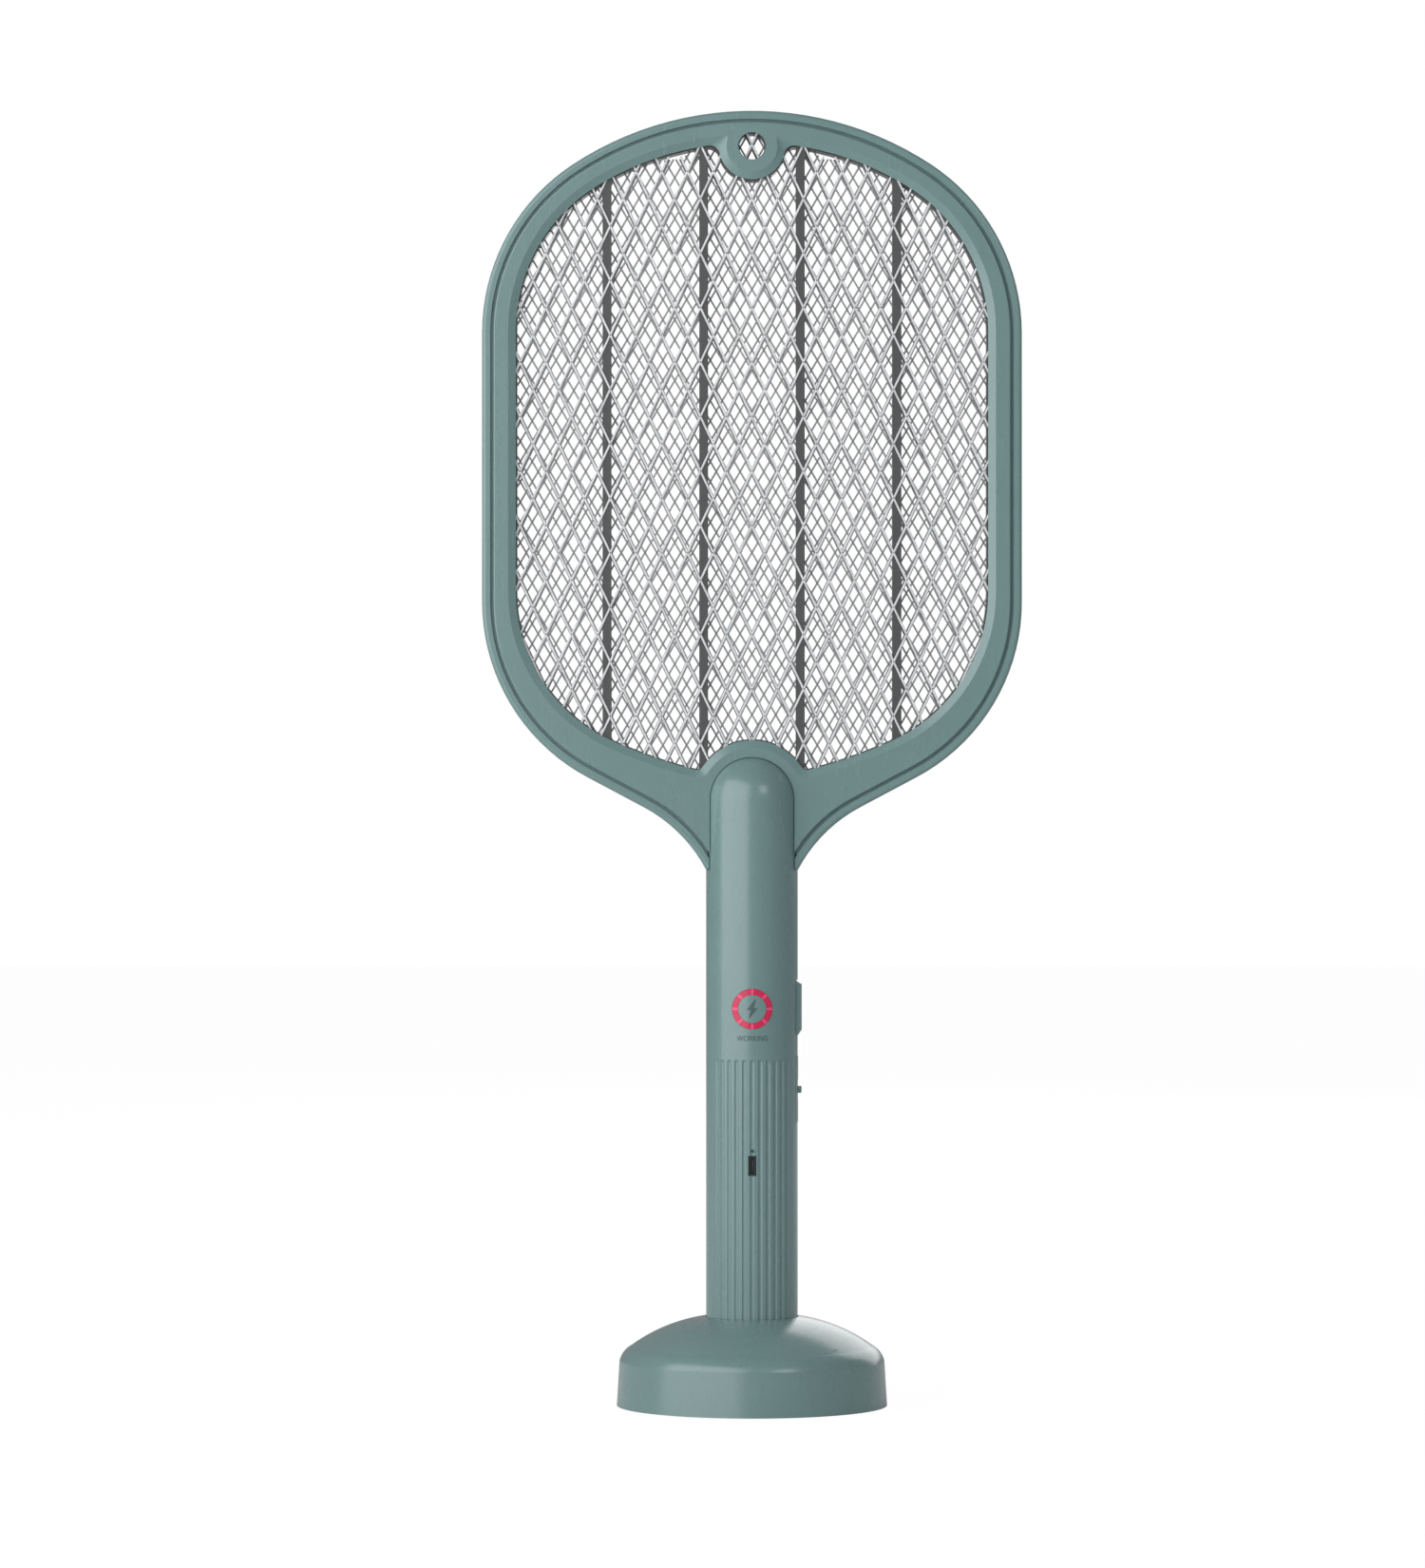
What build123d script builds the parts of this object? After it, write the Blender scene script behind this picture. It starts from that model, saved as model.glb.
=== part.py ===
from build123d import *
import math
import os

# Racket bug zapper standing in a round weighted stand. Millimetres, +Z up, the front faces -Y.
# The origin is the centre of the stand's footprint, on the surface that it stands on.

# ---- head outline: a chain of tangent arcs, from the crown down to the neck ----
HEAD_HALF = 110.0          # half the head's width
HEAD_TOP = 528.0           # top of the crown
CROWN_R = 133.0
SHOULDER_R = 82.0
HIP_Z = 328.0              # where the straight side ends and the hip arc starts
HIP_R = 81.0
HIP_TURN = 62.0            # degrees that the hip arc turns
NECK_RUN = 26.0            # straight run between hip and neck arcs
NECK_R = 61.0

# ---- opening in the head ----
OPEN_HALF = 96.2
OPEN_TOP = 515.1
OPEN_CROWN_R = 121.0
OPEN_SHOULDER_R = 69.0
OPEN_HIP_Z = 332.0
OPEN_HIP_R = 66.5
OPEN_HIP_TURN = 65.6
OPEN_FLOOR_R = 199.0
ARCH_BAND = 5.4            # frame band that wraps the handle's dome
CORNER_FILLET = 3.0        # where the arch band meets the opening's floor
BOSS_Z = 513.5             # hanging hole in the crown
BOSS_R = 13.5
BOSS_FILLET = 4.0
HANG_HOLE_R = 5.6

# ---- head frame section ----
HEAD_HALF_DEPTH = 8.0
RIM_WALL = 3.4
GROOVE = 1.3               # shadow gap between rim and front plate
PLATE = 2.2                # thickness of the front plate and of the rear web
LEDGE = 0.5                # the front plate rests on a ledge of the rear frame
BEVEL_WIDTH = 3.1
BEVEL_DEPTH = 1.6
RIM_ROUND = 1.6
COLLAR_WALL = 1.5          # wall round the handle's dome
FACE_GAP = 0.3             # between stacked pieces in the head

# ---- grids and their carriers ----
GUARD_THICK = 0.6
LIVE_THICK = 0.6
RING_OUTSET = 3.3          # carrier's outer edge beyond the opening
RING_INSET = 0.5           # carrier's inner edge inside the opening
GUARD_OUTSET = 2.6
LIVE_OUTSET = 1.8
RIB_WIDTH = 3.6
RIB_PITCH = 39.4
GUARD_PITCH = (10.5, 22.2)
GUARD_STRAND = 0.9
LIVE_PITCH = (14.55, 24.8)
LIVE_STRAND = 0.8
HOLE_PAD_R = 8.2           # grid and carrier area behind the hanging hole

# ---- handle ----
HANDLE_R = 18.7
HANDLE_WALL = 2.2
DOME_Z = 247.5             # centre of the domed top
PART_GAP = 0.3             # between the handle and the head frame
FLUTE_TOP = 141.0
FLUTE_PITCH = 10.0         # degrees
FLUTE_COUNT = 11
FLUTE_R = 1.2
FLUTE_DEPTH = 0.5
CAP_FLOOR = 2.2
SOCKET_FLOOR = (5.8, 8.2)  # underside and top of the stand's socket floor
SEAT_GAP = 0.1             # between the racket's end cap and the socket floor
HANDLE_BOTTOM = SOCKET_FLOOR[1] + SEAT_GAP + CAP_FLOOR
CAP_SPIGOT = 5.0
POST_R = 3.2
POST_ZS = (20.0, 128.0, 192.0, 225.0)
PILOT_R = 1.0
SCREW_R = 1.4
SCREW_HEAD_R = 2.6
SCREW_HEAD = 2.0

# ---- tongue that joins the head to the handle ----
TONGUE_HALF = 9.0
TONGUE_THICK = 3.0
TONGUE_BOTTOM = 216.0

# ---- electronics ----
BOARD_FRONT = -11.0
BOARD_THICK = 1.6
BOARD_HALF = 11.0
BOARD_Z = (88.0, 183.0)
BOARD_POSTS = ((-8.0, 178.0), (8.0, 93.0))
CELL_R = 9.1
CELL_LENGTH = 65.0
CELL_Z = 27.0
CELL_Y = 5.5
SIDE_BOARD_X = 7.4
SIDE_BOARD_Z = (112.0, 182.0)

LEAD_R = 0.6
LEADS = ((-5.0, -1.6), (5.0, -4.2))       # (x, y) where the live and guard leads leave the dome

# ---- indicator ----
RING_Z = 162.6
RING_OUTER_R = 8.15
RING_INNER_R = 5.8
CHARGE_Z = 105.0
CHARGE_R = 0.65
USB_Z = 99.0
USB_SIZE = (2.6, 7.4)      # width and height of the metal shell

# ---- push button and slide switch, on the +X side ----
BUTTON_Z = (151.4, 173.8)
BUTTON_HALF = 4.5
BUTTON_PROUD = 1.65
BUTTON_SLOPE = 2.1
BUTTON_TRAVEL = 1.2
PLATE_Z = (116.1, 142.9)
PLATE_HALF = 5.5
PLATE_PROUD = 0.2
PLATE_DEPTH = 1.1
KNOB_Z = 129.2
KNOB_HEIGHT = 2.8
KNOB_HALF = 2.0
KNOB_PROUD = 1.55
KNOB_TRAVEL = 2.5
CLEAR = 0.25               # sliding clearance round button and knob

# ---- stand ----
STAND_FOOT_R = 55.2
STAND_WALL_R = 54.1
STAND_WALL_TOP = 18.6
STAND_SHOULDER = (49.4, 24.5)
STAND_DOME = (39.4, 30.5)
STAND_TOP = 36.9
STAND_WALL = 2.4
STAND_FOOT_Z = 0.4
SOCKET_CLEAR = 0.4
SOCKET_WALL = 2.2
BALLAST_R = 38.0
BALLAST_THICK = 8.0
STAND_SCREW_PCD_R = 44.0
STAND_BOSS_R = 3.6
FOOT_R = 5.0
FOOT_THICK = 1.4

os.makedirs("parts", exist_ok=True)


# ---------------- helpers ----------------
def save(name, shape):
    """Writes one sub-part; a list becomes a group of separate solids."""
    if isinstance(shape, (list, tuple)):
        shape = Compound(children=[s.solid() for s in shape])
    export_step(shape, f"parts/{name}.step")


def block(x, y, z):
    """Box from three (low, high) pairs."""
    size = [b - a for a, b in (x, y, z)]
    centre = [(a + b) / 2 for a, b in (x, y, z)]
    return Pos(*centre) * Box(*size)


def rod(axis, radius, centre, low, high):
    """Cylinder along axis "X", "Y" or "Z" between low and high; centre holds the other two coordinates."""
    middle = (low + high) / 2
    body = Cylinder(radius, high - low)
    if axis == "X":
        return Pos(middle, *centre) * Rot(0, 90, 0) * body
    if axis == "Y":
        return Pos(centre[0], middle, centre[1]) * Rot(90, 0, 0) * body
    return Pos(*centre, middle) * body


def slab(face, front, back):
    """Extrudes a face drawn in (x, z) between two depths along Y."""
    return extrude(Plane((0, back, 0), x_dir=(1, 0, 0), z_dir=(0, -1, 0)) * face, back - front)


def disc(radius, x, z):
    return Pos(x, z) * Circle(radius)


def turned(x, z, angle, radius):
    """Point at a radius from (x, z), angle degrees below the +x direction."""
    return (x + radius * math.cos(math.radians(angle)), z - radius * math.sin(math.radians(angle)))


def mirrored_face(points_and_arcs):
    """Face from the right half's edges and their mirror image, closed across the bottom."""
    right = Curve() + points_and_arcs
    left = mirror(right, Plane.YZ)
    bottom = Line(left @ 1, right @ 1) if abs((right @ 1).X) > 1e-6 else None
    edges = right.edges() + left.edges() + ([bottom] if bottom else [])
    return make_face(edges)


def crown_arcs(half, top, crown_r, shoulder_r):
    """Crown arc, then shoulder arc; returns both edges and the height of the shoulder's centre."""
    crown_z = top - crown_r
    shoulder_x = half - shoulder_r
    shoulder_z = crown_z + math.sqrt((crown_r - shoulder_r) ** 2 - shoulder_x ** 2)
    ratio = crown_r / (crown_r - shoulder_r)
    joint = (shoulder_x * ratio, crown_z + (shoulder_z - crown_z) * ratio)
    lean = math.atan2(joint[0], joint[1] - crown_z)
    crown_mid = (crown_r * math.sin(lean / 2), crown_z + crown_r * math.cos(lean / 2))
    swing = (math.pi / 2 + lean) / 2
    shoulder_mid = (shoulder_x + shoulder_r * math.sin(swing), shoulder_z + shoulder_r * math.cos(swing))
    crown = ThreePointArc((0, top), crown_mid, joint)
    shoulder = ThreePointArc(joint, shoulder_mid, (half, shoulder_z))
    return [crown, shoulder], shoulder_z


def head_outline():
    edges, side_top = crown_arcs(HEAD_HALF, HEAD_TOP, CROWN_R, SHOULDER_R)
    edges.append(Line((HEAD_HALF, side_top), (HEAD_HALF, HIP_Z)))
    hip_x = HEAD_HALF - HIP_R
    hip_end = turned(hip_x, HIP_Z, HIP_TURN, HIP_R)
    edges.append(ThreePointArc((HEAD_HALF, HIP_Z), turned(hip_x, HIP_Z, HIP_TURN / 2, HIP_R), hip_end))
    run_end = turned(*hip_end, HIP_TURN + 90, NECK_RUN)
    edges.append(Line(hip_end, run_end))
    neck_x, neck_z = turned(*run_end, HIP_TURN, NECK_R)
    drop = math.degrees(math.acos((neck_x - HANDLE_R) / NECK_R))
    start = 180.0 - HIP_TURN

    def on_neck(angle):
        return (neck_x + NECK_R * math.cos(math.radians(angle)), neck_z + NECK_R * math.sin(math.radians(angle)))

    end = 180.0 - drop
    edges.append(ThreePointArc(run_end, on_neck((start + end) / 2), on_neck(end)))
    return mirrored_face(edges)


def plain_opening():
    """Opening before the hanging boss and the arch band are taken from it."""
    edges, side_top = crown_arcs(OPEN_HALF, OPEN_TOP, OPEN_CROWN_R, OPEN_SHOULDER_R)
    edges.append(Line((OPEN_HALF, side_top), (OPEN_HALF, OPEN_HIP_Z)))
    hip_x = OPEN_HALF - OPEN_HIP_R
    hip_end = turned(hip_x, OPEN_HIP_Z, OPEN_HIP_TURN, OPEN_HIP_R)
    edges.append(ThreePointArc((OPEN_HALF, OPEN_HIP_Z),
                               turned(hip_x, OPEN_HIP_Z, OPEN_HIP_TURN / 2, OPEN_HIP_R), hip_end))
    floor_x, floor_z = turned(*hip_end, OPEN_HIP_TURN + 180, OPEN_FLOOR_R)
    last = math.degrees(math.acos(-floor_x / OPEN_FLOOR_R))
    edges.append(ThreePointArc(hip_end, turned(floor_x, floor_z, (OPEN_HIP_TURN + last) / 2, OPEN_FLOOR_R),
                               turned(floor_x, floor_z, last, OPEN_FLOOR_R)))
    return mirrored_face(edges)


ARCH_R = HANDLE_R + ARCH_BAND
OUTLINE = head_outline()
OPEN_PLAIN = plain_opening()


def opening_face(outset=0.0, with_boss=True):
    """The visible opening, offset outwards by outset, with its corners rounded."""
    face = offset(OPEN_PLAIN, outset) if outset else OPEN_PLAIN
    neck_cut = disc(ARCH_R - outset, 0, DOME_Z) + Pos(0, DOME_Z - 20) * Rectangle(2 * (ARCH_R - outset), 40)
    face = face - neck_cut
    low = [v for v in face.vertices() if v.Y < DOME_Z + ARCH_R and 10 < abs(v.X) < ARCH_R + 6]
    face = fillet(low, CORNER_FILLET + outset)
    if with_boss:
        face = face - disc(BOSS_R - outset, 0, BOSS_Z)
        high = [v for v in face.vertices() if v.Y > BOSS_Z - 6 and abs(v.X) < BOSS_R + 4]
        face = fillet(high, max(BOSS_FILLET - outset, 0.3))
    return face


OPENING = opening_face()
RIM_INNER = offset(OUTLINE, -RIM_WALL)
PLATE_OUTER = offset(OUTLINE, -RIM_WALL - GROOVE)
LEDGE_EDGE = offset(OUTLINE, -RIM_WALL - GROOVE - LEDGE)
HANDLE_CLEAR = (rod("Z", HANDLE_R + PART_GAP, (0, 0), DOME_Z - 60, DOME_Z)
                + Pos(0, 0, DOME_Z) * Sphere(HANDLE_R + PART_GAP))


# ---------------- head ----------------
WEB_IN = HEAD_HALF_DEPTH - PLATE                   # inner face of the front plate and rear web
GUARD_OUT = WEB_IN - FACE_GAP                      # outer face of a guard grid
GUARD_IN = GUARD_OUT - GUARD_THICK
LIVE_OUT = LIVE_THICK / 2
LEDGE_INSET = RIM_WALL + GROOVE + LEDGE
HEAD_POST_R = 2.0                                  # screw posts under the front plate
BOSS_INSET = LEDGE_INSET + FACE_GAP + HEAD_POST_R  # their place, inwards from the outline


def screw_places():
    """Eight frame screws: crown, shoulders, sides and hips, mirrored left and right."""
    crown_z = HEAD_TOP - CROWN_R
    shoulder_x = HEAD_HALF - SHOULDER_R
    shoulder_z = crown_z + math.sqrt((CROWN_R - SHOULDER_R) ** 2 - shoulder_x ** 2)
    spots = [
        turned(0, crown_z, -72, CROWN_R - BOSS_INSET),
        turned(shoulder_x, shoulder_z, -12, SHOULDER_R - BOSS_INSET),
        turned(HEAD_HALF - HIP_R, HIP_Z, 0, HIP_R - BOSS_INSET),
        turned(HEAD_HALF - HIP_R, HIP_Z, 52, HIP_R - BOSS_INSET),
    ]
    return [(side * x, z) for x, z in spots for side in (-1, 1)]


def opening_cutter(outer_y, inner_y):
    """Ruled frustum that leaves the sloping inner bevel of a frame."""
    grown = opening_face(BEVEL_WIDTH)
    side = -1 if outer_y < 0 else 1
    deep = outer_y - side * BEVEL_DEPTH
    planes = [Plane((0, y, 0), x_dir=(1, 0, 0), z_dir=(0, -1, 0)) for y in (deep, outer_y)]
    bevel = loft([planes[0] * OPENING, planes[1] * grown], ruled=True)
    low, high = sorted((deep, inner_y))
    return bevel + slab(OPENING, low, high)


def front_frame():
    body = slab(PLATE_OUTER, -HEAD_HALF_DEPTH, -WEB_IN)
    edge = [e for e in body.edges() if abs(e.center().Y + HEAD_HALF_DEPTH) < 0.01]
    body = fillet(edge, 0.6)
    body -= opening_cutter(-HEAD_HALF_DEPTH, -WEB_IN)
    for x, z in screw_places():
        body += rod("Y", HEAD_POST_R, (x, z), -WEB_IN, WEB_IN - FACE_GAP)
        body -= rod("Y", 0.8, (x, z), -WEB_IN, WEB_IN - FACE_GAP)
    body -= rod("Y", HANG_HOLE_R, (0, BOSS_Z), -HEAD_HALF_DEPTH, -WEB_IN)
    return body - HANDLE_CLEAR


def rear_frame():
    rim_front = -HEAD_HALF_DEPTH + 0.4
    body = slab(OUTLINE, rim_front, HEAD_HALF_DEPTH)
    body = fillet([e for e in body.edges() if abs(e.center().Y - rim_front) < 0.01
                   or abs(e.center().Y - HEAD_HALF_DEPTH) < 0.01], RIM_ROUND)
    body -= slab(RIM_INNER, rim_front, -WEB_IN)
    body -= slab(LEDGE_EDGE, -WEB_IN, WEB_IN)
    body -= opening_cutter(HEAD_HALF_DEPTH, WEB_IN)
    collar_r = HANDLE_R + PART_GAP + COLLAR_WALL
    collar = slab(disc(collar_r, 0, DOME_Z), -1.0, WEB_IN)
    above_dome = slab(Pos(0, DOME_Z + collar_r) * Rectangle(4 * collar_r, 2 * collar_r), -10, 10)
    body += collar & above_dome
    for x, z in screw_places():
        body -= rod("Y", 1.1, (x, z), WEB_IN, HEAD_HALF_DEPTH)
        body -= rod("Y", 2.2, (x, z), HEAD_HALF_DEPTH - 1.2, HEAD_HALF_DEPTH)
    body -= rod("Y", HANG_HOLE_R, (0, BOSS_Z), WEB_IN, HEAD_HALF_DEPTH)
    body -= HANDLE_CLEAR
    tongue = block((-TONGUE_HALF, TONGUE_HALF), (FACE_GAP, FACE_GAP + TONGUE_THICK), (TONGUE_BOTTOM, DOME_Z))
    tongue += block((-TONGUE_HALF, TONGUE_HALF), (FACE_GAP, FACE_GAP + TONGUE_THICK),
                    (DOME_Z, DOME_Z + collar_r)) & collar
    body += tongue - rod("Y", POST_R + FACE_GAP, (0, POST_ZS[-1]), 0, 5)
    return body - wire_ways()


def wire_ways():
    """Channels for the two leads that run up from the board to the grids."""
    return [rod("Z", LEAD_R + 0.5, (x, y), DOME_Z, DOME_Z + ARCH_R - 0.5) for x, y in LEADS]


def carrier(front, back):
    ring = offset(OPEN_PLAIN, RING_OUTSET)
    ring -= disc(ARCH_R - RING_OUTSET, 0, DOME_Z) + Pos(0, DOME_Z - 20) * Rectangle(2 * (ARCH_R - RING_OUTSET), 40)
    ring += disc(HOLE_PAD_R, 0, BOSS_Z)
    cells = opening_face(-RING_INSET)
    for step in (-1.5, -0.5, 0.5, 1.5):
        cells -= Pos(step * RIB_PITCH, (OPEN_TOP + DOME_Z) / 2) * Rectangle(RIB_WIDTH, 2 * OPEN_TOP)
    ring -= cells
    ring -= disc(HANG_HOLE_R - 0.4, 0, BOSS_Z)
    return slab(ring, front, back) - wire_ways()


def diamond_sheet(pitch, strand, outset, front, back):
    """Flat sheet with rows of diamond holes, its rim solid where the carrier holds it."""
    edge = offset(OPEN_PLAIN, outset)
    arch = ARCH_R - outset
    edge -= disc(arch, 0, DOME_Z) + Pos(0, DOME_Z - 20) * Rectangle(2 * arch, 40)
    edge += disc(HOLE_PAD_R - 0.6, 0, BOSS_Z)
    wide, tall = pitch
    slant = strand * math.hypot(wide, tall) / 2
    half_w, half_h = wide / 2 - slant / tall, tall / 2 - slant / wide
    holes = []
    middle = (OPEN_TOP + DOME_Z) / 2
    for row in range(-40, 41):
        for column in range(-40, 41):
            if (row + column) % 2:
                continue
            x, z = column * wide / 2, middle + row * tall / 2
            if hole_fits(x, z, half_w, half_h):
                holes.append(Wire.make_polygon([(x - half_w, z), (x, z - half_h), (x + half_w, z), (x, z + half_h)],
                                               close=True))
    face = edge.faces()[0]
    return slab(Face(face.outer_wire(), holes), front, back)


def hole_fits(x, z, half_w, half_h):
    """True where a whole diamond lies inside the opening, clear of the arch band."""
    for px, pz in ((x - half_w, z), (x + half_w, z), (x, z - half_h), (x, z + half_h)):
        if math.hypot(px, pz - DOME_Z) < ARCH_R + 0.5 or not inside_plain(abs(px), pz):
            return False
    return True


def inside_plain(x, z):
    """Is (x, z) inside the plain opening by half a millimetre?"""
    crown_z = OPEN_TOP - OPEN_CROWN_R
    shoulder_x = OPEN_HALF - OPEN_SHOULDER_R
    shoulder_z = crown_z + math.sqrt((OPEN_CROWN_R - OPEN_SHOULDER_R) ** 2 - shoulder_x ** 2)
    if x > OPEN_HALF - 0.5 or math.hypot(x, z - crown_z) > OPEN_CROWN_R - 0.5 and z > crown_z:
        return False
    if z > shoulder_z and x > shoulder_x and math.hypot(x - shoulder_x, z - shoulder_z) > OPEN_SHOULDER_R - 0.5:
        return False
    if z < OPEN_HIP_Z:
        hip_x = OPEN_HALF - OPEN_HIP_R
        angle = math.degrees(math.atan2(OPEN_HIP_Z - z, x - hip_x))
        if angle < OPEN_HIP_TURN:
            return math.hypot(x - hip_x, z - OPEN_HIP_Z) < OPEN_HIP_R - 0.5
        hip_end = turned(hip_x, OPEN_HIP_Z, OPEN_HIP_TURN, OPEN_HIP_R)
        floor_x, floor_z = turned(*hip_end, OPEN_HIP_TURN + 180, OPEN_FLOOR_R)
        return math.hypot(x - floor_x, z - floor_z) < OPEN_FLOOR_R - 0.5
    return True


def head_screws():
    """Pan-head screws, driven from the rear into the front plate's bosses."""
    screws = []
    for x, z in screw_places():
        shank = rod("Y", 0.8, (x, z), -2.0, HEAD_HALF_DEPTH - 1.2)
        head = rod("Y", 2.0, (x, z), HEAD_HALF_DEPTH - 1.2, HEAD_HALF_DEPTH - 0.2)
        slot = block((x - 1.4, x + 1.4), (HEAD_HALF_DEPTH - 0.7, HEAD_HALF_DEPTH), (z - 0.25, z + 0.25))
        cross = block((x - 0.25, x + 0.25), (HEAD_HALF_DEPTH - 0.7, HEAD_HALF_DEPTH), (z - 1.4, z + 1.4))
        screws.append(shank + head - slot - cross)
    return screws


save("head_front_frame", front_frame())
save("head_rear_frame", rear_frame())
save("carrier_front", carrier(-GUARD_IN, -LIVE_OUT))
save("carrier_rear", carrier(LIVE_OUT, GUARD_IN))
save("front_guard_grid", diamond_sheet(GUARD_PITCH, GUARD_STRAND, GUARD_OUTSET, -GUARD_OUT, -GUARD_IN))
save("live_grid", diamond_sheet(LIVE_PITCH, LIVE_STRAND, LIVE_OUTSET, -LIVE_OUT, LIVE_OUT))
save("rear_guard_grid", diamond_sheet(GUARD_PITCH, GUARD_STRAND, GUARD_OUTSET, GUARD_IN, GUARD_OUT))
save("head_screws", head_screws())


# ---------------- handle ----------------
INNER_R = HANDLE_R - HANDLE_WALL


def domed_bar(radius, low):
    """Cylinder with a hemispherical top, from low up to the dome."""
    return rod("Z", radius, (0, 0), low, DOME_Z) + Pos(0, 0, DOME_Z) * Sphere(radius)


def flute_angles(skip=None):
    middle = (FLUTE_COUNT - 1) / 2
    angles = [(i - middle) * FLUTE_PITCH for i in range(FLUTE_COUNT)]
    return [a for a in angles if skip is None or abs(a) > skip]


def flutes(facing, angles):
    """Round-bottomed grooves down the grip, each ending in a ball at the top."""
    cutters = []
    reach = HANDLE_R + FLUTE_R - FLUTE_DEPTH
    for angle in angles:
        x = reach * math.sin(math.radians(angle))
        y = facing * reach * math.cos(math.radians(angle))
        cutters.append(rod("Z", FLUTE_R, (x, y), HANDLE_BOTTOM - 1, FLUTE_TOP))
        cutters.append(Pos(x, y, FLUTE_TOP) * Sphere(FLUTE_R))
    return cutters


def side_openings():
    """Through window for the button, pocket and window for the slide switch's plate."""
    low, high = BUTTON_Z
    button = block((INNER_R - 4, HANDLE_R + 1), (-BUTTON_HALF - CLEAR, BUTTON_HALF + CLEAR), (low - CLEAR, high + CLEAR))
    low, high = PLATE_Z
    gap = 0.1
    pocket = block((10, HANDLE_R + 1), (-PLATE_HALF - gap, PLATE_HALF + gap), (low - gap, high + gap))
    pocket -= rod("Z", HANDLE_R - PLATE_DEPTH, (0, 0), low - 1, high + 1)
    window = block((10, HANDLE_R + 1), (-3.8, 3.8), (KNOB_Z - 9, KNOB_Z + 9))
    return [button, pocket, window]


def cradle(z, half):
    """Rib across the shell that holds the cell."""
    rib = rod("Z", INNER_R + 0.2, (0, 0), z - 0.8, z + 0.8) & half
    return rib - rod("Z", CELL_R + 0.3, (0, CELL_Y), z - 2, z + 2)


def half_space(facing, inset=0.0):
    low, high = sorted((facing * inset, facing * 40))
    return block((-40, 40), (low, high), (-20, 320))


def handle_shell(facing):
    shell = domed_bar(HANDLE_R, HANDLE_BOTTOM) - domed_bar(INNER_R, HANDLE_BOTTOM - 1)
    shell &= half_space(facing)
    angles = flute_angles() if facing < 0 else flute_angles(skip=15)
    for cutter in flutes(facing, angles) + side_openings():
        shell -= cutter
    return shell


def front_shell():
    shell = handle_shell(-1)
    for z in POST_ZS:
        shell += rod("Y", POST_R, (0, z), -INNER_R - 0.5, 0)
        shell -= rod("Y", PILOT_R, (0, z), -INNER_R + 2, 0)
    for x, z in BOARD_POSTS:
        shell += rod("Y", 2.0, (x, z), -math.sqrt(INNER_R ** 2 - x ** 2) - 0.4, BOARD_FRONT)
        shell -= rod("Y", 0.7, (x, z), BOARD_FRONT - 2.5, BOARD_FRONT)
    for z in (50.0, 74.0):
        shell += cradle(z, half_space(-1, 6.0))
    shell -= rod("Y", RING_OUTER_R + 0.1, (0, RING_Z), -HANDLE_R - 1, BOARD_FRONT)
    shell -= rod("Y", CHARGE_R + 0.05, (0, CHARGE_Z), -HANDLE_R - 1, -10)
    width, height = USB_SIZE
    shell -= block((-width / 2 - 0.35, width / 2 + 0.35), (-HANDLE_R - 1, -10),
                   (USB_Z - height / 2 - 0.35, USB_Z + height / 2 + 0.35))
    for way in wire_ways():
        shell -= way
    return shell


def rear_shell():
    shell = handle_shell(1)
    for z in (38.0, 62.0, 86.0):
        shell += cradle(z, half_space(1, 3.0))
    for z in POST_ZS:
        low = 2 * FACE_GAP + TONGUE_THICK if z == POST_ZS[-1] else 0.0
        shell += rod("Y", POST_R, (0, z), low, INNER_R + 0.5)
        shell -= rod("Y", SCREW_R, (0, z), low, HANDLE_R)
        shell -= rod("Y", SCREW_HEAD_R + 0.2, (0, z), HANDLE_R - 2.0 - SCREW_HEAD, HANDLE_R + 1)
    slot = block((-TONGUE_HALF - 0.3, TONGUE_HALF + 0.3), (0, 2 * FACE_GAP + TONGUE_THICK), (DOME_Z, DOME_Z + HANDLE_R + 1))
    return shell - slot


def handle_screws():
    screws = []
    for z in POST_ZS:
        seat = HANDLE_R - 2.0 - SCREW_HEAD
        shank = rod("Y", PILOT_R, (0, z), -8, seat)
        head = rod("Y", SCREW_HEAD_R, (0, z), seat, seat + SCREW_HEAD)
        top = seat + SCREW_HEAD
        cross = block((-1.8, 1.8), (top - 1, top), (z - 0.3, z + 0.3))
        cross += block((-0.3, 0.3), (top - 1, top), (z - 1.8, z + 1.8))
        screws.append(shank + head - cross)
    return screws


def end_cap():
    cap = rod("Z", HANDLE_R - 0.3, (0, 0), HANDLE_BOTTOM - CAP_FLOOR, HANDLE_BOTTOM)
    cap = chamfer(cap.edges().group_by(Axis.Z)[0], 0.8)
    spigot = rod("Z", INNER_R - 0.1, (0, 0), HANDLE_BOTTOM, HANDLE_BOTTOM + CAP_SPIGOT)
    spigot -= rod("Z", INNER_R - 1.9, (0, 0), HANDLE_BOTTOM, HANDLE_BOTTOM + CAP_SPIGOT)
    return cap + spigot


save("handle_front_shell", front_shell())
save("handle_rear_shell", rear_shell())
save("handle_screws", handle_screws())
save("handle_end_cap", end_cap())


# ---------------- indicator and electronics ----------------
BOARD_BACK = BOARD_FRONT + BOARD_THICK
LIGHT_FRONT = HANDLE_R + 0.15                      # the indicator follows the handle, slightly proud
CHIP = 0.7


def indicator_ring():
    tube = rod("Y", RING_OUTER_R, (0, RING_Z), -HANDLE_R - 2, BOARD_FRONT - CHIP - 0.3)
    tube -= rod("Y", RING_INNER_R, (0, RING_Z), -HANDLE_R - 2, BOARD_FRONT)
    return tube & rod("Z", LIGHT_FRONT, (0, 0), RING_Z - 20, RING_Z + 20)


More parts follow.
